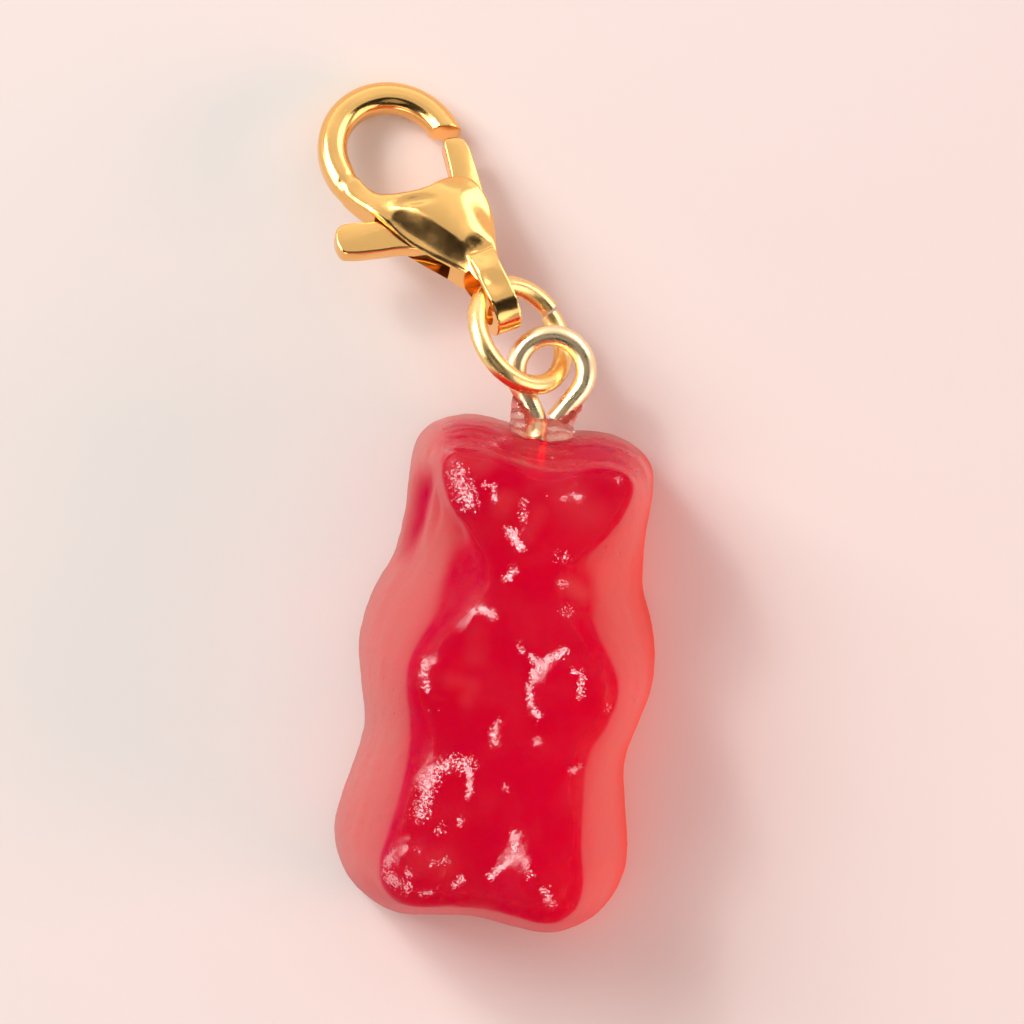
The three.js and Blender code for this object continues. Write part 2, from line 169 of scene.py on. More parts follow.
def points_of(obj):
    """The mesh's points in millimetres, one in a row."""
    points = np.empty(len(obj.data.vertices) * 3)
    obj.data.vertices.foreach_get("co", points)
    return points.reshape(-1, 3) / MM


def set_points(obj, points):
    obj.data.vertices.foreach_set("co", (points * MM).ravel())
    obj.data.update()


def normals_of(obj):
    normals = np.empty(len(obj.data.vertices) * 3)
    obj.data.vertices.foreach_get("normal", normals)
    return normals.reshape(-1, 3)


def ramp(value, low, high):
    """0 below low, 1 above high, and a soft step between."""
    share = np.clip((value - low) / (high - low), 0, 1)
    return share * share * (3 - 2 * share)


def fall(value, low, high):
    """1 below low, 0 above high, and a soft step between."""
    return ramp(-value, -high, -low)


def between(low, high, share):
    """What lies this share of the way from low to high."""
    return low + (high - low) * share


def push(obj, at, reach, by, slope=1.0, turn=0):
    """Moves the skin near a place, as a thumb would: all of it up to the slope, less beyond."""
    points = points_of(obj)
    away = points - np.array(at)
    angle = math.radians(turn)
    along = math.cos(angle) * away[:, 0] + math.sin(angle) * away[:, 1]
    across = math.cos(angle) * away[:, 1] - math.sin(angle) * away[:, 0]
    in_reach = (along / reach[0]) ** 2 + (across / reach[1]) ** 2 + (away[:, 2] / reach[2]) ** 2
    share = ramp(1 - np.sqrt(in_reach), 0, slope)
    set_points(obj, points + share[:, None] * np.array(by))


def smooth(obj, angle=None):
    """Shades a piece as smooth, or as smooth up to this angle between its faces."""
    only(obj)
    if angle is None:
        bpy.ops.object.shade_smooth()
    else:
        bpy.ops.object.shade_smooth_by_angle(angle=math.radians(angle))
    return obj


def finish_piece(obj, body, slot, material, *nodes):
    """Gives a piece its material and its body, and hides the CAD nodes that it stands for."""
    obj.data.materials.clear()
    obj.data.materials.append(material)
    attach(obj, body)
    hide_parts(*nodes)


# ---------------------------------------------------------------- materials


def colour(hex_value):
    """An sRGB hex value as linear red, green, blue and alpha."""
    channels = [int(hex_value[i : i + 2], 16) / 255 for i in (1, 3, 5)]
    linear = [c / 12.92 if c <= 0.04045 else ((c + 0.055) / 1.055) ** 2.4 for c in channels]
    return (*linear, 1.0)


def add(material, kind, settings=(), **links):
    """Adds a shader node: settings on it, and values or other nodes' outputs into its inputs."""
    tree = material.node_tree
    node = tree.nodes.new("ShaderNode" + kind)
    for name, value in dict(settings).items():
        setattr(node, name, value)
    for name, value in links.items():
        key = int(name[1:]) if name[0] == "i" and name[1:].isdigit() else name.replace("_", " ")
        socket = node.inputs[key]
        if isinstance(value, bpy.types.NodeSocket):
            tree.links.new(value, socket)
        else:
            socket.default_value = value
    return node


def new_material(name):
    material = bpy.data.materials.new(name)
    material.use_nodes = True
    material.node_tree.nodes.clear()
    return material


def output(material, surface, volume=None):
    end = add(material, "OutputMaterial", Surface=surface.outputs[0])
    if volume:
        material.node_tree.links.new(volume.outputs[0], end.inputs["Volume"])


def object_place(material, scale=(1, 1, 1)):
    """Object coordinates, stretched: patterns then lie still on the piece."""
    place = add(material, "TexCoord").outputs["Object"]
    return add(material, "Mapping", Vector=place, Scale=scale).outputs["Vector"]


def blend(material, share, low, high):
    """A value that runs from low to high as share goes from 0 to 1."""
    return add(material, "MapRange", i0=share, i3=low, i4=high).outputs[0]


def rising(material, value, low, high, kind="LINEAR"):
    """0 where the value is below low, and 1 above high."""
    settings = {"interpolation_type": kind}
    return add(material, "MapRange", settings, i0=value, i1=low, i2=high).outputs[0]


def maths(material, operation, one, other, clamp=False):
    settings = {"operation": operation, "use_clamp": clamp}
    return add(material, "Math", settings, i0=one, i1=other).outputs[0]


def tinted(material, share, low, high):
    """A colour that runs from low to high as share goes from 0 to 1."""
    return add(material, "Mix", {"data_type": "RGBA"}, i0=share, i6=low, i7=high).outputs[2]


def leaning(material, share, low, high):
    """A direction that turns from low to high as share goes from 0 to 1."""
    return add(material, "Mix", {"data_type": "VECTOR"}, i0=share, i4=low, i5=high).outputs[1]


def noise(material, place, scale, detail, roughness=0.5):
    values = {"Scale": scale, "Detail": detail, "Roughness": roughness}
    return add(material, "TexNoise", Vector=place, **values).outputs[0]


def bumped(material, height, strength, distance, over=None, inward=False):
    """The skin's direction with this relief on it, over another one."""
    links = {"Height": height, "Strength": strength, "Distance": distance}
    if over is not None:
        links["Normal"] = over
    return add(material, "Bump", {"invert": inward}, **links).outputs[0]


# ---------------------------------------------------------------- bear

BEAR_VOXEL = 0.11
BEAR_SMOOTHING = 12
# Two balls close the resin round the eye's shank: middle and radii.
SHANK_FILLS = (((-0.1, 8.75, 3.95), (0.85, 0.85, 0.85)), ((-0.1, 8.0, 3.95), (0.85, 1.4, 0.85)))
# The flank is rounded below a height, the front above one, each by so many rounds of smoothing.
FLANK_BELOW, FLANK_ROUNDS = 6.2, 25
FRONT_ABOVE, FRONT_ROUNDS = 5.0, 90
# The front is pressed down: what stands above this height keeps this share of it.
PRESS_ABOVE, PRESS_KEEP = 7.0, 0.25
PRESS_SOFTLY = (-0.4, 0.6)  # the pressing sets in over this range about it
# The left ear's edge stays sharp within this reach.
SHARP_EAR, SHARP_EAR_REACH = (-3.6, 7.2, 6.6), 1.6
# Lumps and dents of the front: middle x and y, half width, half length, the tilt of the side in
# degrees (below 0 for a dent), and how much of the reach is side, from 0.3 for a disc to 1.
FRONT_MARKS = {
    "crown": (0.0, 8.9, 1.9, 1.4, -30, 1.0),
    "left ear": (-2.05, 6.7, 1.9, 1.9, 27, 0.85),
    "right ear": (2.9, 7.9, 1.2, 1.1, -12, 1.0),
    "left eye": (-1.15, 6.75, 0.75, 0.75, 26, 0.5),
    "left pupil": (-1.15, 6.8, 0.4, 0.4, -24, 0.9),
    "right eye": (1.9, 6.97, 1.2, 1.15, 15, 0.4),
    "nose bridge": (0.0, 6.3, 0.5, 0.9, 19, 0.5),
    "snout": (-0.1, 5.2, 0.9, 0.9, 24, 0.6),
    "chin": (-0.05, 3.8, 0.7, 0.65, 28, 0.6),
    "collar": (1.6, 4.6, 0.35, 0.5, 24, 0.9),
    "collar low": (1.85, 3.55, 0.4, 0.45, 24, 0.9),
    "collar foot": (2.15, 2.7, 0.35, 0.4, 24, 0.9),
    "left shoulder": (-1.25, 1.7, 1.2, 1.05, 31, 0.55),
    "left paw": (-1.8, -0.5, 1.7, 1.6, 14, 0.5),
    "left thumb": (-2.7, -0.45, 0.95, 1.15, 29, 0.5),
    "right paw": (2.6, -0.5, 2.3, 2.2, 28, 0.6),
    "right wrist": (1.75, 0.2, 1.0, 1.3, 24, 0.7),
    "right thumb": (3.4, -0.05, 0.9, 1.0, 27, 0.6),
    "right cuff": (4.3, -1.1, 0.45, 0.5, 26, 0.8),
    "belly": (0.2, -2.6, 0.85, 1.1, 30, 0.6),
    "button": (1.6, -2.6, 0.35, 0.35, 27, 0.8),
    "right hip": (3.35, -3.5, 0.6, 0.6, 28, 0.8),
    "left knee": (-1.5, -5.0, 1.95, 2.1, 30, 0.65),
    "dimple": (-1.35, -4.75, 0.6, 0.85, -34, 0.8),
    "lap": (0.6, -4.6, 0.35, 0.4, 27, 0.8),
    "right foot": (2.1, -7.7, 1.9, 1.9, 29, 0.9),
    "right toe": (1.5, -6.5, 0.8, 0.7, 26, 0.8),
    "right heel": (3.2, -8.85, 0.9, 0.85, 29, 0.7),
    "left foot": (-2.5, -8.3, 1.7, 1.7, 28, 0.6),
    "left sole": (-1.9, -7.5, 1.0, 1.0, 14, 0.6),
    "left toe": (-0.6, -8.7, 0.75, 0.7, 29, 0.8),
}
RELIEF = 0.45  # the share of the marks' tilt that is shape; FLASHES and PAINTED_SHEENS do the rest
RAMP_SLOPE = 1.5  # how steep a ramp is in its middle
MARK_HEIGHT, MARK_REACH = 7.6, 4.0
MARK_LEAN = (-0.4, 0.25)  # towards the window in x and y, for each millimetre up
SKIN_WAVES = {"scale": 0.6, "height": 0.06}
# Where the front's edge is rounded well into the flank: x, y, z, reach and rounds of smoothing.
SOFT_EDGES = (
    (-2.9, 2.2, 6.8, 2.1, 200),
    (-3.8, -3.4, 6.6, 1.4, 200),
    (2.7, 2.9, 6.8, 1.9, 200),
    (3.4, 4.4, 5.6, 1.9, 60),
    (0.3, 8.7, 6.3, 1.6, 200),
    (4.0, -4.2, 6.6, 1.5, 200),
)
# Flashes on the front, where its skin leans to the window: the line they run along, half width,
# and how closely the sparks stand there.
FLASHES = {
    "ear": (((-3.2, 7.7), (-2.95, 7.2), (-2.55, 6.55)), 0.62, 0.72),
    "brow": (((-3.75, 8.5), (-3.65, 8.55)), 0.2, 0.8),
    "left eye": (((-1.95, 7.35), (-1.7, 7.3), (-1.45, 6.8)), 0.2, 0.8),
    "bridge": (((-0.45, 6.9), (-0.35, 6.25)), 0.3, 0.45),
    "nose": (((-0.85, 5.7), (-0.6, 5.45), (-0.3, 5.1)), 0.32, 1.0),
    "snout": (((-0.65, 3.9), (-0.45, 4.15)), 0.32, 0.85),
    "right eye": (((1.2, 7.2), (1.5, 7.4), (1.85, 7.3)), 0.25, 0.45),
    "right cheek": (((1.25, 4.95), (1.5, 5.0)), 0.35, 0.6),
    "collar": (((1.5, 3.9), (1.7, 3.9)), 0.25, 0.65),
    "right ear": (((3.05, 8.4), (3.2, 8.3)), 0.2, 0.7),
    "right ear side": (((3.9, 7.3), (3.75, 7.0)), 0.22, 0.7),
    "shoulder": (((-1.8, 2.3), (-1.5, 2.45), (-0.95, 2.25)), 0.26, 0.95),
    "right chest": (((1.8, 2.9), (2.05, 2.9)), 0.35, 0.5),
    "left thumb": (((-3.4, 0.1), (-3.4, -0.45), (-3.2, -1.0)), 0.25, 0.9),
    "curl": (((0.15, 1.3), (0.3, 1.05)), 0.2, 0.75),
    "star": (((1.0, 0.1), (1.4, 0.7), (1.95, 1.15)), 0.34, 1.1),
    "star tip": (((0.7, 0.9), (1.15, 0.5)), 0.2, 0.9),
    "trickle": (((0.85, -0.3), (1.05, -1.15), (1.35, -1.45)), 0.22, 1.1),
    "right thumb": (((2.65, 0.5), (2.95, 0.2), (2.9, -0.4)), 0.3, 0.85),
    "cuff": (((4.1, -0.8), (4.2, -0.9)), 0.22, 0.8),
    "belly": (((-0.25, -1.9), (-0.3, -2.3), (-0.2, -2.75)), 0.26, 1.0),
    "button": (((1.4, -2.45), (1.5, -2.5)), 0.2, 0.8),
    "hip": (((3.0, -3.4), (3.3, -3.25)), 0.25, 0.85),
    "knee": (
        ((-2.75, -5.9), (-2.65, -5.1), (-2.35, -4.35), (-1.8, -3.85), (-1.2, -3.75)),
        0.58,
        0.7,
    ),
    "knee fold": (((-1.0, -4.1), (-0.9, -4.95)), 0.22, 1.1),
    "lap": (((0.4, -4.45), (0.5, -4.5)), 0.15, 0.8),
    "shin": (((-1.15, -6.0), (-1.1, -6.2)), 0.17, 0.8),
    "left foot": (((-3.65, -7.6), (-3.8, -8.3), (-3.45, -8.8), (-2.9, -9.0)), 0.36, 0.85),
    "left toe": (((-2.95, -8.3), (-2.85, -8.4)), 0.2, 0.9),
    "left arch": (((-1.9, -7.85), (-1.5, -7.7)), 0.25, 0.65),
    "ankle": (((-1.9, -6.4), (-1.8, -6.6)), 0.3, 0.45),
    "left ball": (((-1.0, -8.6), (-0.8, -8.3)), 0.27, 0.8),
    "left sole": (((-2.2, -9.1), (-1.9, -9.05)), 0.2, 0.6),
    "flame": (((0.95, -6.2), (1.15, -6.7), (1.3, -7.15)), 0.25, 1.1),
    "flame left": (((1.2, -7.2), (0.75, -7.6), (0.35, -8.0)), 0.25, 1.0),
    "flame right": (((1.55, -7.1), (2.0, -7.85)), 0.22, 0.75),
    "heel": (((2.65, -8.3), (2.95, -8.85)), 0.3, 0.8),
    "heel side": (((3.85, -8.8), (3.9, -9.0)), 0.2, 0.6),
    "head top": (((-2.3, 9.0), (-1.75, 9.15), (-1.3, 9.3)), 0.3, 0.75),
    "head dip": (((0.3, 9.3), (0.4, 8.95)), 0.2, 0.7),
}
# Painted reflections: paler patches of the front, where lumps under the gloss would catch the
# light: line, half width and share.
PAINTED_SHEENS = (
    (((1.4, 7.3), (2.2, 6.8)), 1.3, 0.3),
    (((-1.2, 6.6), (-1.1, 6.85)), 0.7, 0.28),
    (((-3.1, 8.3), (-2.3, 8.2)), 0.9, 0.3),
    (((-2.3, -0.55), (-1.4, -0.6), (-1.6, -1.2)), 0.6, 0.22),
    (((-1.6, 1.3), (-1.5, 0.6)), 0.8, 0.15),
    (((0.3, 6.6), (-0.1, 5.6)), 0.6, 0.22),
    (((1.7, 3.9), (2.5, 3.6)), 0.6, 0.3),
    (((-2.6, -7.9), (-1.7, -7.7)), 1.0, 0.22),
)
# Folds down the left flank of the head: their line, half width, and how deep they are and how
# dark, the dark being painted shade.
FOLDS = (
    (((-4.45, 7.7), (-4.6, 5.7), (-4.8, 3.9)), 0.7, 1.0),
    (((-4.1, 7.4), (-3.75, 5.9), (-3.85, 4.6)), 0.3, 0.5),
    (((-3.15, 6.0), (-2.75, 4.9), (-2.9, 3.7)), 0.5, 1.0),
    (((-3.45, 5.8), (-3.15, 4.7), (-3.3, 3.5)), 0.25, 0.5),
)
FOLD_DEPTH = 0.3
FOLD_ENDS = (1.8, 2.4)  # how far it runs out at the top and below
# The ranges over which each look of the skin comes or goes. UP and RIGHT are how far the skin
# faces that way, up to 1; X, Y and Z are places in millimetres.
FOLDS_Z, FOLDS_UP = (1.0, 3.0), (0.5, 0.8)
FACE_UP, FACE_Z = (0.55, 0.8), (5.4, 6.4)
SHARP_EDGE_Y, SHARP_EDGE_X = (4.8, 6.0), (-3.0, -1.5)
FEET_Y = (-9.6, -8.2)
GLOSS_UP = (0.965, 0.995)
CROWN_X, CROWN_Y, CROWN_Z = (3.2, 4.6), (7.9, 8.7), (2.6, 4.2)
FLASH_UP = (0.3, 0.6)
PAINTED_GLOW_Z, PAINTED_GLOW_RIGHT = (1.2, 5.2), (0.2, 0.8)
PAINTED_SHEENS_ABOVE = 5
# How far the dark front and the gloss run out over their edges, in rounds of spreading, and at
# which share of what arrives the front is fully dark, on the left and on the right.
SOFT_RUN, SHARP_RUN, WIDE_RUN, GLOSS_RUN = 110, 8, 500, 8
SOFT_FULL, SOFT_FULL_X = (0.3, 0.42), (-1.0, 1.0)
WIDE_DARK, WIDE_FULL = 0.5, 0.4
FEET_DARK = 0.5
# Painted glow round the eye's shank, the resin painted warmer as if lit through it: middle, reach
# and share.
PAINTED_SHANK_GLOW = ((0.2, 9.1, 5.1), 1.5, 0.5)
# Which way the flashes lean: half way between straight up and the window.
FLASH_LEAN = (-0.38, 0.22, 0.9)


def resin_bear():
    """The bear in one skin, with its folds and marks, and what the material asks of each point."""
    whole = [node_copy("bear", "resin_bear"), *(ball(*fill) for fill in SHANK_FILLS)]
    bear = join("resin_bear", whole)
    fuse(bear, BEAR_VOXEL, smoothing=BEAR_SMOOTHING)
    points = points_of(bear)
    height = points[:, 2]
    soften(bear, height < FLANK_BELOW, FLANK_ROUNDS)
    flatten(bear, above=PRESS_ABOVE, keep=PRESS_KEEP)
    sharp_ear = within(points, SHARP_EAR, SHARP_EAR_REACH)
    soften(bear, (height > FRONT_ABOVE) & ~sharp_ear, FRONT_ROUNDS)
    for x, y, z, reach, rounds in SOFT_EDGES:
        soften(bear, within(points, (x, y, z), reach), rounds)
    points, normals = points_of(bear), normals_of(bear)
    folds = folds_of(points, normals)
    points -= FOLD_DEPTH * folds[:, None] * normals
    set_points(bear, points)
    store_looks(bear, points, normals, folds)
    for x, y, wide, long, tilt, side in FRONT_MARKS.values():
        up = RELIEF * math.tan(math.radians(tilt)) * min(wide, long) * side / RAMP_SLOPE
        lean = (MARK_LEAN[0] * up, MARK_LEAN[1] * up, up)
        push(bear, (x, y, MARK_HEIGHT), (wide, long, MARK_REACH), lean, side)
    ruffle(bear, "melt", SKIN_WAVES, middle=0.5)
    # Back to its full height, which the softening took, and flat on its back.
    points = points_of(bear)
    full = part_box("bear")[1][2] / MM
    points[:, 2] = np.maximum(points[:, 2] * full / points[:, 2].max(), 0)
    set_points(bear, points)
    return smooth(bear)


def folds_of(points, normals):
    """How deep each point lies in the folds of the flank, from 0 to 1."""
    on_flank = ramp(points[:, 2], *FOLDS_Z) * fall(normals[:, 2], *FOLDS_UP)
    return on_flank * highest(dark * fold_at(points, line, wide) for line, wide, dark in FOLDS)


def store_looks(bear, points, normals, folds):
    """Stores on each point how it looks; the normals are those from before the folds."""
    side, along, height = points.T
    right, _, up = normals.T
    # The dark front melts into the flank, sharply at the left ear and softly elsewhere.
    face = ramp(up, *FACE_UP) * ramp(height, *FACE_Z)
    sharp = ramp(along, *SHARP_EDGE_Y) * fall(side, *SHARP_EDGE_X)
    full = between(*SOFT_FULL, ramp(side, *SOFT_FULL_X))
    soft = ramp(spread(bear, face, SOFT_RUN) / full, 0, 1)
    soft = between(soft, spread(bear, face, SHARP_RUN), sharp)
    wide = WIDE_DARK * ramp(spread(bear, face, WIDE_RUN), 0, WIDE_FULL)
    painted_sheens = highest(pale * near_line(points, line, reach) for line, reach, pale in PAINTED_SHEENS)
    feet = FEET_DARK * fall(along, *FEET_Y)
    # The folds darken the flank with painted shade, tinted as the front's deep red.
    front = highest([soft, wide, folds, feet])
    # Painted reflections make the front paler in these patches on its upper part.
    store(bear, "front", front - painted_sheens * (height > PAINTED_SHEENS_ABOVE))
    store(bear, "fold", folds)
    store(bear, "gloss", spread(bear, ramp(up, *GLOSS_UP), GLOSS_RUN))
    crown = ramp(along, *CROWN_Y) * ramp(height, *CROWN_Z) * fall(np.abs(side), *CROWN_X)
    store(bear, "crown", crown)
    flashes = [close * near_line(points, line, reach) for line, reach, close in FLASHES.values()]
    store(bear, "flash", ramp(up, *FLASH_UP) * highest(flashes))
    # Painted glow: the low right-hand edge and the resin round the shank are marked to be painted
    # warmer.
    at, reach, share = PAINTED_SHANK_GLOW
    painted_shank_glow = share * ramp(1 - np.linalg.norm(points - at, axis=1) / reach, 0, 1)
    painted_edge_glow = fall(height, *PAINTED_GLOW_Z) * ramp(right, *PAINTED_GLOW_RIGHT)
    store(bear, "painted_glow", np.maximum(painted_edge_glow, painted_shank_glow))


def within(points, at, reach):
    return np.linalg.norm(points - at, axis=1) < reach


def highest(layers):
    """The largest value of each point."""
    return np.maximum.reduce(list(layers))


def ruffle(obj, name, waves, middle):
    """Soft waves of the skin, their scale and height in millimetres."""
    clouds = bpy.data.textures.new(name, "CLOUDS")
    clouds.noise_scale = waves["scale"] * MM
    modify(obj, "DISPLACE", texture=clouds, strength=waves["height"] * MM, mid_level=middle)


def fold_at(points, line, wide):
    """A fold that runs out softly at both ends of its line."""
    top, low = line[0][1] + wide, line[-1][1] - wide
    ends = ramp(top - points[:, 1], 0, FOLD_ENDS[0]) * ramp(points[:, 1] - low, 0, FOLD_ENDS[1])
    return ends * near_line(points, line, wide)


def near_line(points, line, wide):
    """1 on a line seen from above, and 0 from this far off."""
    nearest = np.full(len(points), np.inf)
    for start, end in zip(line, line[1:]):
        start, run = np.array(start), np.array(end) - start
        share = np.clip((points[:, :2] - start) @ run / (run @ run), 0, 1)
        away = np.linalg.norm(points[:, :2] - start - share[:, None] * run, axis=1)
        nearest = np.minimum(nearest, away)
    return ramp(1 - nearest / wide, 0, 1)


def spread(obj, values, rounds):
    """Lets a value run over the skin, from each point to its neighbours."""
    ends = np.empty(len(obj.data.edges) * 2, dtype=np.int32)
    obj.data.edges.foreach_get("vertices", ends)
    one, other = ends.reshape(-1, 2).T
    count = len(values)
    neighbours = np.bincount(one, minlength=count) + np.bincount(other, minlength=count)
    for _ in range(rounds):
        around = np.bincount(one, values[other], count) + np.bincount(other, values[one], count)
        values = (values + around) / (1 + neighbours)
    return values


def store(obj, name, values):
    """Keeps a value of each point for the material."""
    attribute = obj.data.attributes.new(name, "FLOAT", "POINT")
    attribute.data.foreach_set("value", values.astype(np.float32))


def soften(obj, chosen, iterations):
    """Rounds off only the chosen points."""
    group = obj.vertex_groups.new(name="soft")
    group.add(np.flatnonzero(chosen).tolist(), 1.0, "REPLACE")
    modify(obj, "SMOOTH", factor=0.5, iterations=iterations, vertex_group="soft")
    obj.vertex_groups.remove(obj.vertex_groups["soft"])


def flatten(bear, above, keep):
    """Presses the front down softly, so that its lumps melt into each other."""
    points = points_of(bear)
    over = points[:, 2] - above
    points[:, 2] -= (1 - keep) * np.where(over > 0, over * ramp(over, *PRESS_SOFTLY), 0)
    set_points(bear, points)


def red_resin():
    """Cast clear resin dyed red: wet gloss where the mould was polished, frosted on the flank."""
    m = new_material("cast_red_resin")
    place = object_place(m)
    front, fold, gloss, crown, flash, painted_glow = (
        add(m, "Attribute", {"attribute_name": name}).outputs["Fac"]
        for name in ("front", "fold", "gloss", "crown", "flash", "painted_glow")
    )
    # Wet streaks run over the frosted top of the head.
    ripples = noise(m, object_place(m, (350, 1500, 1500)), 1.0, 4.0)
    streaks = rising(m, ripples, 0.42, 0.58)
    wet = maths(m, "MULTIPLY", streaks, crown)
    under = maths(m, "MULTIPLY", blend(m, streaks, 0.75, 1.0), crown)
    # Faint clouds in the mass.
    clouds = noise(m, place, 600.0, 3.0)
    deep = maths(m, "MAXIMUM", front, under)
    deep = maths(m, "MULTIPLY", deep, blend(m, clouds, 1.15, 0.8))
    tint = tinted(m, deep, colour("#EC7A76"), colour("#F8004C"))
    # Painted glow: the thin right-hand edge, and the resin round the shank, are painted warmer for
    # the light that comes up through them.
    tint = tinted(m, painted_glow, tint, colour("#FF5A4C"))
    # Sparks: facets of the worn mould, each leaning to the window.
    crumbs = noise(m, place, 12000.0, 2.0, 0.7)
    clumps = noise(m, place, 2600.0, 2.0, 0.6)
    loose = maths(m, "ADD", blend(m, crumbs, -2.2, 2.2), blend(m, clumps, -0.9, 0.9))
    spark = rising(m, maths(m, "ADD", flash, loose), 0.45, 0.75, "SMOOTHSTEP")
    spark = maths(m, "MULTIPLY", spark, maths(m, "GREATER_THAN", flash, 0.03))
    # Folds and the lit edge mirror less of the floor than so steep a skin would.
    straight = add(m, "NewGeometry").outputs["Normal"]
    dull = maths(m, "MAXIMUM", fold, painted_glow)
    lean = leaning(m, blend(m, dull, 0.0, 0.6), straight, (0, 0, 1))
    lean = leaning(m, spark, lean, FLASH_LEAN)
    lean = add(m, "VectorMath", {"operation": "NORMALIZE"}, i0=lean).outputs[0]
    # Fine layers round the flank, the streaks' edges, and grit of the mould, about 0.15 mm,
    # which breaks the lights up.
    layers = noise(m, object_place(m, (1200, 1200, 9000)), 1.0, 3.0)
    grit = noise(m, place, 7000.0, 3.0, 0.6)
    bump = bumped(m, layers, 0.4, 0.00003, lean)
    bump = bumped(m, ripples, blend(m, crown, 0.0, 0.6), 0.0002, bump)
    bump = bumped(m, grit, 0.6, 0.00003, bump)
    # Air bubbles that broke open at the skin, 0.1 to 0.2 mm wide, more of them in places.
    pits = add(m, "TexVoronoi", Vector=place, Scale=1700.0).outputs[0]
    size = blend(m, noise(m, place, 450.0, 1.0), -0.6, 0.62)
    bump = bumped(m, maths(m, "SUBTRACT", size, pits, clamp=True), 0.8, 0.0003, bump, inward=True)
    # The frosted skin shines broadly, the lit edge and the dark skin hardly, the sparks sharply.
    frost = maths(m, "MULTIPLY", blend(m, deep, 0.4, 0.03), blend(m, painted_glow, 1.0, 0.25))
    frost = maths(m, "MAXIMUM", frost, blend(m, gloss, 0.0, 0.3))
    shine = maths(m, "MAXIMUM", frost, spark)
    # The worn edge of the front hardly mirrors the walls.
    mirror = maths(m, "MAXIMUM", gloss, spark)
    worn = maths(m, "SUBTRACT", deep, mirror, clamp=True)
    skin = add(
        m,
        "BsdfPrincipled",
        Base_Color=tint,
        Roughness=blend(m, maths(m, "MAXIMUM", gloss, wet), 0.38, 0.1),
        Transmission_Weight=blend(m, deep, 0.5, 0.65),
        IOR=blend(m, worn, 1.5, 1.18),
        Specular_IOR_Level=shine,
        Normal=bump,
        Subsurface_Weight=1.0,
        Subsurface_Radius=(0.006, 0.0004, 0.0004),
        Subsurface_Scale=1.0,
    )
    dye = add(m, "VolumeAbsorption", Color=(1.0, 0.0, 0.1, 1), Density=1200.0)
    output(m, skin, dye)
    return m


# ---------------------------------------------------------------- wires and glue

# The eye's loop: its middle and radius, and from which angle to which its wire runs.
EYE_WIRE = 0.86
EYE_LOOP = ((0.07, 12.36, 3.95), 1.42)
EYE_ARC = (229, -36)
EYE_STEPS = 16
EYE_SHANK = ((-0.1, 7.6, 3.95), (-0.1, 8.6, 3.95), (-0.1, 9.6, 3.95), (-0.22, 10.2, 3.95))
EYE_CUT_END = ((0.86, 10.98, 3.93), (0.5, 10.4, 3.9))
RING_WIRE = 0.8
RING_RADIUS = 2.2
RING_CENTRE = (-1.35, 13.6, 4.06)
RING_HEADING, RING_TILT = 42.8, 45.0  # which way it leans in degrees, and how far
# The cut: how wide and where, in degrees, and by how much its ends miss each other.
RING_GAP, RING_GAP_AT, RING_END_STEP = 4.0, 88.0, 0.16
RING_STEPS = 32
GLUE_VOXEL, GLUE_SMOOTHING = 0.05, 5
GLUE_DRIPS = {"scale": 0.4, "height": 0.06}
# The glue's red over these ranges is a painted reflection of the resin seen through it.
GLUE_PAINTED_RED_X, GLUE_PAINTED_RED_Y = (0.7, 1.2), (9.9, 10.7)  # it turns red over these, outwards and up
# Dabs of glue down both legs of the eye, and the collar on the head: middle and radii.
GLUE_DABS = (
    ((-1.1, 11.15, 3.8), (0.24, 0.3, 0.36)),
    ((-1.0, 10.8, 3.8), (0.36, 0.42, 0.55)),
    ((-0.8, 10.4, 3.88), (0.54, 0.45, 0.7)),
    ((-0.35, 9.98, 3.9), (1.0, 0.48, 1.0)),
    ((0.4, 9.98, 3.9), (1.0, 0.48, 0.95)),
    ((0.85, 10.4, 3.8), (0.5, 0.4, 0.65)),
    ((1.1, 10.75, 3.8), (0.32, 0.36, 0.52)),
    ((1.35, 11.05, 3.75), (0.22, 0.26, 0.36)),
)


def bent(name, points, closed=False):
    """A smooth line through these points, as a curve."""
    bpy.ops.curve.primitive_bezier_curve_add()
    line = bpy.context.object
    line.name = line.data.name = name
    spline = line.data.splines[0]
    spline.bezier_points.add(len(points) - 2)
    for knot, point in zip(spline.bezier_points, points):
        knot.co = Vector((*point, 0)[:3]) * MM
        knot.handle_left_type = knot.handle_right_type = "AUTO"
    spline.use_cyclic_u = closed
    line.data.resolution_u = 16
    return line


def as_mesh(line):
    """Turns a curve into a closed mesh."""
    only(line)
    bpy.ops.object.convert(target="MESH")
    edit(line)
    bpy.ops.mesh.remove_doubles(threshold=MERGE / 2 * MM)
    bpy.ops.mesh.normals_make_consistent(inside=False)
    bpy.ops.object.mode_set(mode="OBJECT")
    return line


def wire(name, points, diameter):
    line = bent(name, points)
    line.data.bevel_depth = diameter / 2 * MM
    line.data.bevel_resolution = 7
    line.data.use_fill_caps = True
    return smooth(as_mesh(line), CREASE)


def screw_eye():
    (x, y, level), radius = EYE_LOOP
    arc = []
    for step in range(EYE_STEPS + 1):
        angle = math.radians(EYE_ARC[0] + (EYE_ARC[1] - EYE_ARC[0]) * step / EYE_STEPS)
        arc.append((x + radius * math.cos(angle), y + radius * math.sin(angle), level))
    return wire("screw_eye_wire", [*EYE_SHANK, *arc, *EYE_CUT_END], EYE_WIRE)


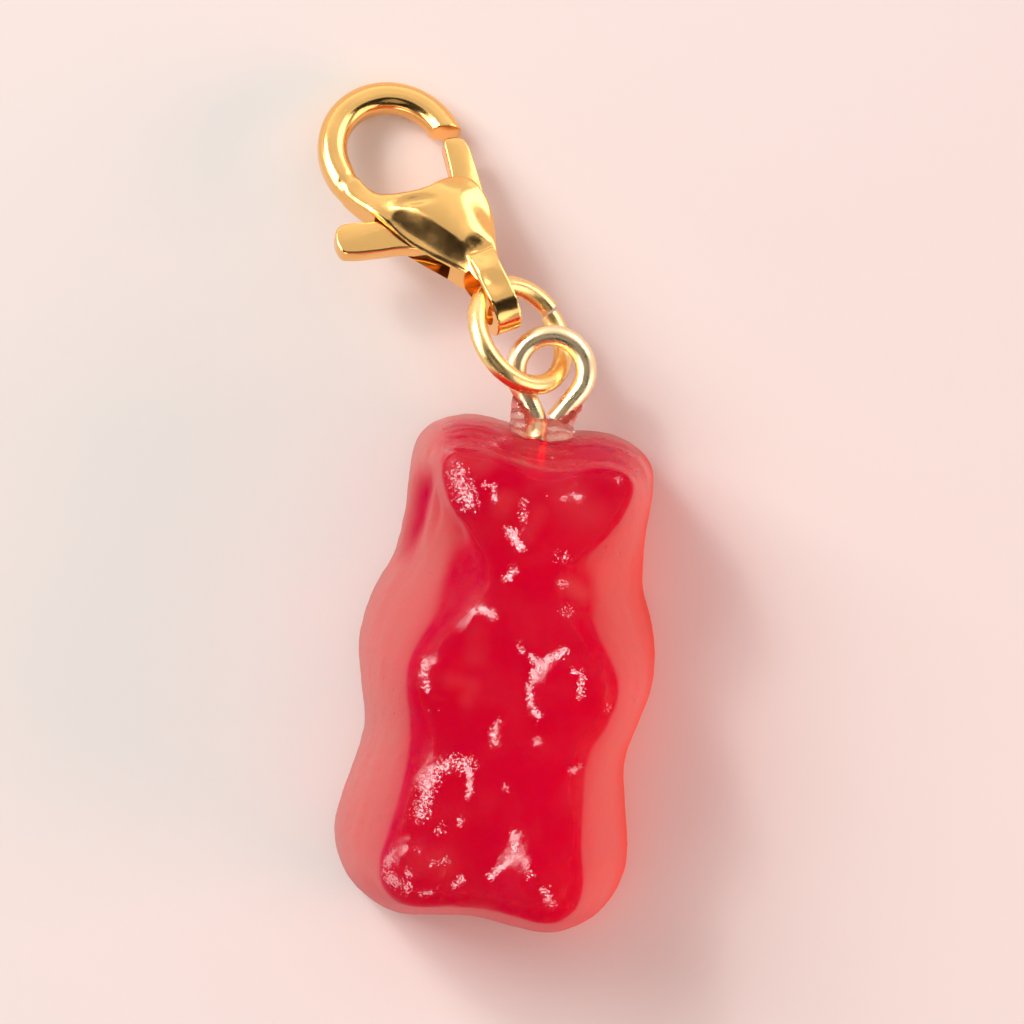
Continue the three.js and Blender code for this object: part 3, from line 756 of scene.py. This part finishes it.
def jump_ring():
    heading, tilt = math.radians(RING_HEADING), math.radians(RING_TILT)
    downhill = Vector(
        (math.cos(heading) * math.cos(tilt), math.sin(heading) * math.cos(tilt), -math.sin(tilt))
    )
    level = Vector((-math.sin(heading), math.cos(heading), 0))
    axis = downhill.cross(level)
    points = []
    for step in range(RING_STEPS + 1):
        share = step / RING_STEPS
        angle = math.radians(RING_GAP_AT + RING_GAP / 2 + (360 - RING_GAP) * share)
        outward = level * math.cos(angle) + downhill * math.sin(angle)
        aside = axis * RING_END_STEP * (share - 0.5)
        points.append(Vector(RING_CENTRE) + outward * RING_RADIUS + aside)
    return wire("jump_ring_wire", points, RING_WIRE)


def glue_collar():
    dabs = [ball(centre, radii, detail=3) for centre, radii in GLUE_DABS]
    glue = join("glue_collar", dabs)
    fuse(glue, GLUE_VOXEL, smoothing=GLUE_SMOOTHING)
    ruffle(glue, "drips", GLUE_DRIPS, middle=0.6)
    return smooth(glue)


# ---------------------------------------------------------------- lobster clasp

# Where the clasp's own frame stands, and its turns.
CLASP_PLACE = (
    Matrix.Translation(Vector((-4.28, 18.88, 2.3348)) * MM)
    @ Matrix.Rotation(math.radians(33), 4, "Z")
    @ Matrix.Rotation(math.radians(-21), 4, "X")
    @ Matrix.Rotation(math.radians(15), 4, "Y")
)
CLASP_VOXEL = 0.05
GAP = 0.12  # all round the lever and the rivet
CLASP_CREASE = 40  # an edge of the clasp is sharp above this many degrees
# The hook: an oval arc from one angle to the other, its band's width and height, the size of
# the band's rounded corners, and how far the band is drawn towards a circle, from 0 to 1.
HOOK_CENTRE = (-2.0, 2.9)
HOOK_RADII = (2.43, 2.54)
HOOK_BAND = (1.14, 1.25)
HOOK_ROUND = 0.42
HOOK_CROWN = 0.4
HOOK_ARC = (-14, 216)
HOOK_STEPS = 110
# Where it runs out into the belly the band narrows and moves out: by which share, how far, and
# between which angles.
HOOK_RUN_OUT = (0.18, 0.1, 180, 214)
HOOK_END = 300  # angles above this one are the tip's, not the run-out's
# The tip's cut runs through these two points and takes off what is in this block below them.
HOOK_TIP = ((0.08, 3.07), (0.8, 2.83))
HOOK_TIP_WASTE = ((-0.6, -1.2, -1.2), (1.4, 0, 1.2))
BELLY_HALF, BELLY_EDGE = 1.0, 0.1
BELLY_OUTLINE = (
    (-4.0, 2.2), (-3.76, 1.63), (-3.51, 1.22), (-3.05, 0.9), (-2.54, 0.71), (-2.06, 0.61),
    (-1.5, 0.59), (-0.92, 0.68), (-0.38, 0.71), (0.02, 0.6), (0.32, 0.3), (0.5, -0.3),
    (0.56, -0.9), (0.5, -1.4), (0.3, -2.1), (0.02, -2.8), (-0.22, -3.6), (-0.4, -4.0),
    (-1.35, -4.0), (-1.6, -3.55), (-2.1, -2.85), (-2.65, -2.15), (-3.38, -1.05), (-3.85, 0.0),
    (-4.2, 0.62), (-4.5, 1.15), (-4.68, 1.8),
)
# Crown and slopes of the belly, the same front and back: place, reach, rise, slope, turn. They
# are pushed from just under its skin, and reach this far through it.
BELLY_MARK_W, BELLY_MARK_REACH = 0.95, 2.0
BELLY_MARKS = {
    "crown": ((-1.2, -0.9), (2.5, 2.8), 0.24, 1.0, 0),
    "slope to the ridge": ((-2.8, -1.9), (4.2, 1.3), -0.46, 1.0, -60),
    "slope to the right": ((0.75, -1.9), (2.6, 1.4), -0.36, 1.0, -76),
    "lip": ((0.1, 1.3), (1.6, 1.8), -0.3, 1.0, 0),
    "root of the hook": ((-4.2, 1.9), (2.4, 2.2), -0.4, 0.9, 0),
    "crease": ((-2.35, 0.14), (1.1, 0.3), -0.08, 0.9, -16),
}
# Where the casting's parts flow into each other: place and reach.
CAST_FILLETS = (((-4.1, 1.5), 1.0), ((-0.9, -3.5), 0.55))
FILLET_ROUNDS = 40
# Hollows in the front of the strap, at its root and in its middle: place, reach and depth.
STRAP_HOLLOWS = (
    ((-0.78, -2.9, 1.12), (0.9, 0.9, 0.4), 0.14),
    ((-0.85, -4.4, 1.12), (0.65, 0.7, 0.5), 0.07),
)
STRAP_U = (-1.3, -0.24)
STRAP_V = (-6.1, -2.9)
STRAP_HALF, STRAP_EDGE = 1.12, 0.18
STRAP_EYE = ((-5.6, -3.45), 0.82)  # from v to v, and half its height
LEVER_HALF, LEVER_EDGE = 0.4, 0.09
LEVER_PIVOT = (0.12, -0.15)
LEVER_OPEN = 26
# Its room is joined from this many steps of its way.
ROOM_STEPS, ROOM_EDGE, ROOM_VOXEL = 6, 0.03, 0.035
LEVER_OUTLINE = (
    (0.06, 2.44), (0.16, 2.56), (0.34, 2.57), (0.72, 2.45), (0.88, 2.32), (0.95, 2.1),
    (0.9, 1.34), (0.75, 0.34), (0.6, -0.4), (0.3, -1.1), (-0.3, -1.75), (-1.2, -2.15),
    (-1.95, -2.2), (-2.6, -1.8), (-3.4, -1.4), (-4.5, -1.14), (-5.5, -0.86), (-5.76, -0.72),
    (-5.86, -0.42), (-5.8, 0.05), (-5.6, 0.37), (-5.28, 0.46), (-4.3, 0.2), (-2.8, -0.1),
    (-1.4, -0.2), (-0.62, 0.1), (-0.32, 0.8), (-0.02, 2.1),
)
PIN_RADIUS = 0.3
PIN_SPAN = (-0.96, 0.78)
PIN_EDGE = 0.06
THROUGH = 2  # what cuts right through a piece reaches about this far past it


def plate(name, outline, half, edge, growth=0.0):
    """A flat piece with this outline and rounded edges."""
    line = bent(name, outline, closed=True)
    line.data.dimensions = "2D"
    line.data.fill_mode = "BOTH"
    line.data.extrude = (half - edge) * MM
    line.data.bevel_depth = edge * MM
    line.data.bevel_resolution = 3
    line.data.offset = (growth - edge) * MM
    return as_mesh(line)


def hook():
    """A flat-topped band spun round the hook's middle, its tip cut off square."""
    (u, v), (wide, long), (band, height) = HOOK_CENTRE, HOOK_RADII, HOOK_BAND
    place, upright = Vector((u + wide, v, 0)) * MM, (math.pi / 2, 0, 0)
    bpy.ops.mesh.primitive_plane_add(size=1, location=place, rotation=upright)
    section = bpy.context.object
    section.scale = Vector((band, height, 1)) * MM
    settle(section)
    edit(section)
    bpy.ops.mesh.bevel(offset=HOOK_ROUND * MM, segments=6, affect="VERTICES")
    bpy.ops.mesh.select_all(action="SELECT")
    bpy.ops.transform.tosphere(value=HOOK_CROWN)
    start, end = (math.radians(a) for a in HOOK_ARC)
    centre = Vector((u, v, 0)) * MM
    bpy.ops.mesh.spin(steps=HOOK_STEPS, angle=end - start, center=centre, axis=(0, 0, -1))
    bpy.ops.mesh.select_all(action="SELECT")
    bpy.ops.mesh.normals_make_consistent(inside=False)
    bpy.ops.object.mode_set(mode="OBJECT")
    # Turned to its start, narrowed towards the belly and made oval.
    points = (points_of(section) - (u, v, 0)) @ np.array(Matrix.Rotation(start, 3, "Z")).T
    narrow, bulge, low, high = HOOK_RUN_OUT
    angle = np.degrees(np.arctan2(points[:, 1], points[:, 0])) % 360
    share = ramp(angle, low, high) * (angle < HOOK_END)
    radius = np.hypot(points[:, 0], points[:, 1])
    stretch = (wide + bulge * share + (radius - wide) * (1 - narrow * share)) / radius
    points *= np.stack([stretch, stretch * long / wide, np.ones(len(points))], axis=1)
    set_points(section, points + (u, v, 0))
    tip, far = (Vector((*corner, 0)) for corner in HOOK_TIP)
    end_cut = block(*HOOK_TIP_WASTE)
    lean = math.atan2(far.y - tip.y, far.x - tip.x)
    end_cut.data.transform(Matrix.Translation(tip * MM) @ Matrix.Rotation(lean, 4, "Z"))
    cut(section, end_cut)
    return section


def belly():
    """The body of the casting, crowned in the middle and sloping to its edges."""
    body = plate("belly", BELLY_OUTLINE, BELLY_HALF, BELLY_EDGE)
    fuse(body, CLASP_VOXEL, smoothing=3)
    for (u, v), (wide, long), rise, slope, turn in BELLY_MARKS.values():
        for side in (1, -1):
            at, reach = (u, v, side * BELLY_MARK_W), (wide, long, BELLY_MARK_REACH)
            push(body, at, reach, (0, 0, side * rise), slope, turn)
    modify(body, "SMOOTH", factor=0.5, iterations=5)
    return body


def crossbar(half, v_low, v_high, u_low, u_high):
    """A round-ended bar through the clasp from side to side."""
    bar = block((u_low, v_low + half, -half), (u_high, v_high, half))
    bpy.ops.mesh.primitive_cylinder_add(
        vertices=96,
        radius=half * MM,
        depth=(u_high - u_low) * MM,
        location=Vector(((u_low + u_high) / 2, v_low + half, 0)) * MM,
        rotation=(0, math.pi / 2, 0),
    )
    end = settle(bpy.context.object)
    modify(bar, "BOOLEAN", operation="UNION", solver="EXACT", object=end)
    bpy.data.objects.remove(end)
    return bar


def turned(piece, degrees):
    """Turns a piece of the clasp about the lever's pivot."""
    pivot = Vector((*LEVER_PIVOT, 0)) * MM
    turn = Matrix.Rotation(math.radians(degrees), 4, "Z")
    piece.data.transform(Matrix.Translation(pivot) @ turn @ Matrix.Translation(-pivot))
    return piece


def lever_room():
    """What the lever sweeps as it opens."""
    places = []
    for step in range(ROOM_STEPS + 1):
        place = plate("room", LEVER_OUTLINE, LEVER_HALF + GAP, ROOM_EDGE, GAP)
        places.append(turned(place, LEVER_OPEN * step / ROOM_STEPS))
    room = join("room", places)
    modify(room, "REMESH", mode="VOXEL", voxel_size=ROOM_VOXEL * MM)
    return room


def clasp_body():
    """Hook, belly and strap in one casting, cut out for the lever, the ring and the rivet."""
    band = crossbar(STRAP_HALF, *STRAP_V, *STRAP_U)
    modify(band, "BEVEL", width=STRAP_EDGE * MM, segments=4, angle_limit=math.radians(CREASE))
    body = join("clasp_casting", [hook(), belly(), band])
    fuse(body, CLASP_VOXEL, smoothing=4)
    points = points_of(body)
    for (u, v), reach in CAST_FILLETS:
        soften(body, np.hypot(points[:, 0] - u, points[:, 1] - v) < reach, FILLET_ROUNDS)
    for at, reach, depth in STRAP_HOLLOWS:
        push(body, at, reach, (0, 0, -depth))
    cut(body, lever_room())
    (low, high), half = STRAP_EYE
    cut(body, crossbar(half, low, high, STRAP_U[0] - THROUGH, STRAP_U[1] + THROUGH))
    cut(body, disc((*LEVER_PIVOT, PIN_SPAN[1] + GAP - THROUGH), PIN_RADIUS + GAP, THROUGH))
    return smooth(body, CLASP_CREASE)


def clasp_lever():
    lever = plate("lever_plate", LEVER_OUTLINE, LEVER_HALF, LEVER_EDGE)
    cut(lever, disc((*LEVER_PIVOT, 0), PIN_RADIUS + GAP, THROUGH))
    return smooth(lever, CLASP_CREASE)


def clasp_pin():
    low, high = PIN_SPAN
    pin = disc((*LEVER_PIVOT, (low + high) / 2), PIN_RADIUS, (high - low) / 2, bevel=PIN_EDGE)
    pin.name = pin.data.name = "rivet"
    return smooth(pin, CLASP_CREASE)


def placed(piece):
    """Puts a piece of the clasp from its own frame to its place."""
    piece.data.transform(CLASP_PLACE)
    return piece


# ---------------------------------------------------------------- finishes


def gold(name, hex_value, roughness, grain, dents):
    """Gold plate over a polished casting: warm mirror, with a faint orange peel and fine marks."""
    m = new_material(name)
    place = object_place(m)
    haze = noise(m, place, 1500.0, 3.0)
    # Slow dents, orange peel and fine marks, from the largest to the smallest.
    bump = bumped(m, noise(m, place, 300.0, 1.0), dents, 0.0006)
    bump = bumped(m, noise(m, place, 900.0, 1.0), dents, 0.00002, bump)
    bump = bumped(m, noise(m, place, 9000.0, 2.0), grain, 0.00001, bump)
    skin = add(
        m,
        "BsdfPrincipled",
        Base_Color=colour(hex_value),
        Metallic=1.0,
        Roughness=blend(m, haze, roughness * 0.6, roughness * 1.4),
        Normal=bump,
    )
    output(m, skin)
    return m


def clear_glue():
    """Clear glue that set with fine air in it, tinted red outwards and up the legs: a painted
    reflection of the red resin seen through it.
    """
    m = new_material("clear_glue")
    place = object_place(m)
    sides = add(m, "SeparateXYZ", i0=place).outputs
    off_middle = add(m, "Math", {"operation": "ABSOLUTE"}, i0=sides[0]).outputs[0]
    # Painted reflection: red where the resin would be seen through the glue, outwards and up the
    # legs.
    up_the_legs = rising(m, sides[1], *(y * MM for y in GLUE_PAINTED_RED_Y))
    outer = rising(m, off_middle, *(x * MM for x in GLUE_PAINTED_RED_X))
    red = maths(m, "MULTIPLY", up_the_legs, outer)
    skin = add(
        m,
        "BsdfPrincipled",
        Base_Color=tinted(m, red, colour("#FFE6D6"), colour("#F0807C")),
        Roughness=0.06,
        Transmission_Weight=0.96,
        IOR=1.48,
        Normal=bumped(m, noise(m, place, 6000.0, 3.0), 0.8, 0.00005),
    )
    output(m, skin)
    return m


# ---------------------------------------------------------------- studio

FLOOR_WIDTH, FLOOR_DROP = 2000, 0.02
# The camera looks at AIM from OFFSET; UP_HINT is what stands upright in the picture.
CAMERA_AIM = (-0.63, 6.49, 2.0)
CAMERA_OFFSET = (-10.4, -1.5, 299.8)
CAMERA_UP_HINT = (-0.139, 0.990, 0)
CAMERA_SENSOR, CAMERA_LENS, CAMERA_NEAR = 36, 259.5, 10
# Lamps: place, width and power.
LAMPS = {
    "window": ((-330, 190, 300), 280, 1.65),
    "bare_bulb": ((-290, 230, 330), 60, 0.35),
    "pink_card": ((420, -60, 110), 250, 1.9),
    "ceiling": ((0, 0, 500), 900, 1.85),
}
# White cards round the charm that only the gold mirrors, and a dim one above it: the same.
GOLD_CARDS = {
    "top_card": ((-80, 390, 310), 560, 0.71),
    "right_card": ((330, 400, 230), 360, 1.1),
    "left_card": ((-420, -40, 230), 360, 1.8),
    "low_right_card": ((430, -100, 200), 380, 0.7),
    "front_card": ((-60, -440, 150), 300, 0.6),
    "dim_card": ((60, -70, 450), 220, 0.06),
}


def studio():
    """The floor, the walls and the lamps; gold_cards adds those for the gold."""
    drop = (0, 0, -FLOOR_DROP * MM)
    bpy.ops.mesh.primitive_plane_add(size=FLOOR_WIDTH * MM, location=drop)
    floor = bpy.context.object
    floor.name = "floor"
    m = new_material("pale_floor")
    output(m, add(m, "BsdfPrincipled", Base_Color=colour("#E1DBD5"), Roughness=0.9))
    floor.data.materials.append(m)

    sky()
    lamps = {name: lamp(name, *settings) for name, settings in LAMPS.items()}
    lamps["pink_card"].data.color = colour("#FF8878")[:3]
    for name in ("pink_card", "ceiling"):
        lamps[name].visible_glossy = False
    bpy.context.scene.view_settings.view_transform = "Standard"


def gold_cards():
    """Sets up the cards and links them to the pieces of gold alone."""
    gilt = bpy.data.collections.new("gilt")
    for obj in bpy.context.scene.objects:
        materials = obj.data.materials if obj.type == "MESH" else ()
        if materials and materials[0].name.startswith("plated"):
            gilt.objects.link(obj)
    for name, card in GOLD_CARDS.items():
        lamp(name, *card).light_linking.receiver_collection = gilt


def sky():
    """White walls all round under a dark ceiling, so that what faces up stays deep in colour."""
    world = bpy.data.worlds.new("soft_studio")
    world.use_nodes = True
    tree = world.node_tree
    background = tree.nodes["Background"]
    direction = tree.nodes.new("ShaderNodeTexCoord").outputs["Generated"]
    height = tree.nodes.new("ShaderNodeSeparateXYZ")
    tree.links.new(direction, height.inputs[0])
    dusk = tree.nodes.new("ShaderNodeValToRGB")
    dusk.color_ramp.elements[0].position = 0.0
    dusk.color_ramp.elements[0].color = colour("#FFFFFF")
    dusk.color_ramp.elements[1].position = 0.7
    dusk.color_ramp.elements[1].color = colour("#201C1C")
    tree.links.new(height.outputs["Z"], dusk.inputs[0])
    tree.links.new(dusk.outputs[0], background.inputs["Color"])
    background.inputs["Strength"].default_value = 1.0
    bpy.context.scene.world = world


def lamp(name, place, size, power):
    """A square lamp that faces the charm and that the camera doesn't see."""
    place = Vector(place) * MM
    data = bpy.data.lights.new(name, "AREA")
    data.shape = "SQUARE"
    data.size = size * MM
    data.energy = power
    light = bpy.data.objects.new(name, data)
    light.location = place
    light.rotation_euler = (-place).to_track_quat("-Z", "Y").to_euler()
    light.visible_camera = False
    bpy.context.collection.objects.link(light)
    return light


def camera():
    """Looks down on the charm from a little to its left."""
    aim, offset = Vector(CAMERA_AIM) * MM, Vector(CAMERA_OFFSET) * MM
    back = offset.normalized()
    right = Vector(CAMERA_UP_HINT).cross(back).normalized()
    up = back.cross(right)
    data = bpy.data.cameras.new("camera")
    data.sensor_width = CAMERA_SENSOR
    data.lens = CAMERA_LENS
    data.clip_start = CAMERA_NEAR * MM
    eye = bpy.data.objects.new("camera", data)
    turn = Matrix((right, up, back)).transposed().to_4x4()
    eye.matrix_world = Matrix.Translation(aim + offset) @ turn
    bpy.context.collection.objects.link(eye)
    bpy.context.scene.camera = eye


# ---------------------------------------------------------------- making it

camera()
studio()
finish_piece(resin_bear(), "bear", "red_resin", red_resin(), "bear")
finish_piece(glue_collar(), "bear", "clear_glue", clear_glue(), "glue")
eye_gold = gold("plated_eye", "#FFE2B2", roughness=0.3, grain=0.8, dents=0.3)
finish_piece(screw_eye(), "bear", "pale_gold", eye_gold, "screw_eye")
ring_gold = gold("plated_ring", "#FBD28C", roughness=0.28, grain=0.3, dents=0.2)
finish_piece(jump_ring(), "ring", "polished_gold", ring_gold, "jump_ring")
cast_gold = gold("plated_casting", "#FAC274", roughness=0.17, grain=0.15, dents=0.4)
finish_piece(placed(clasp_body()), "clasp", "clasp_gold", cast_gold, "clasp_body")
finish_piece(placed(clasp_pin()), "clasp", "clasp_gold", cast_gold, "clasp_pin")
finish_piece(placed(clasp_lever()), "lever", "clasp_gold", cast_gold, "clasp_lever")
gold_cards()
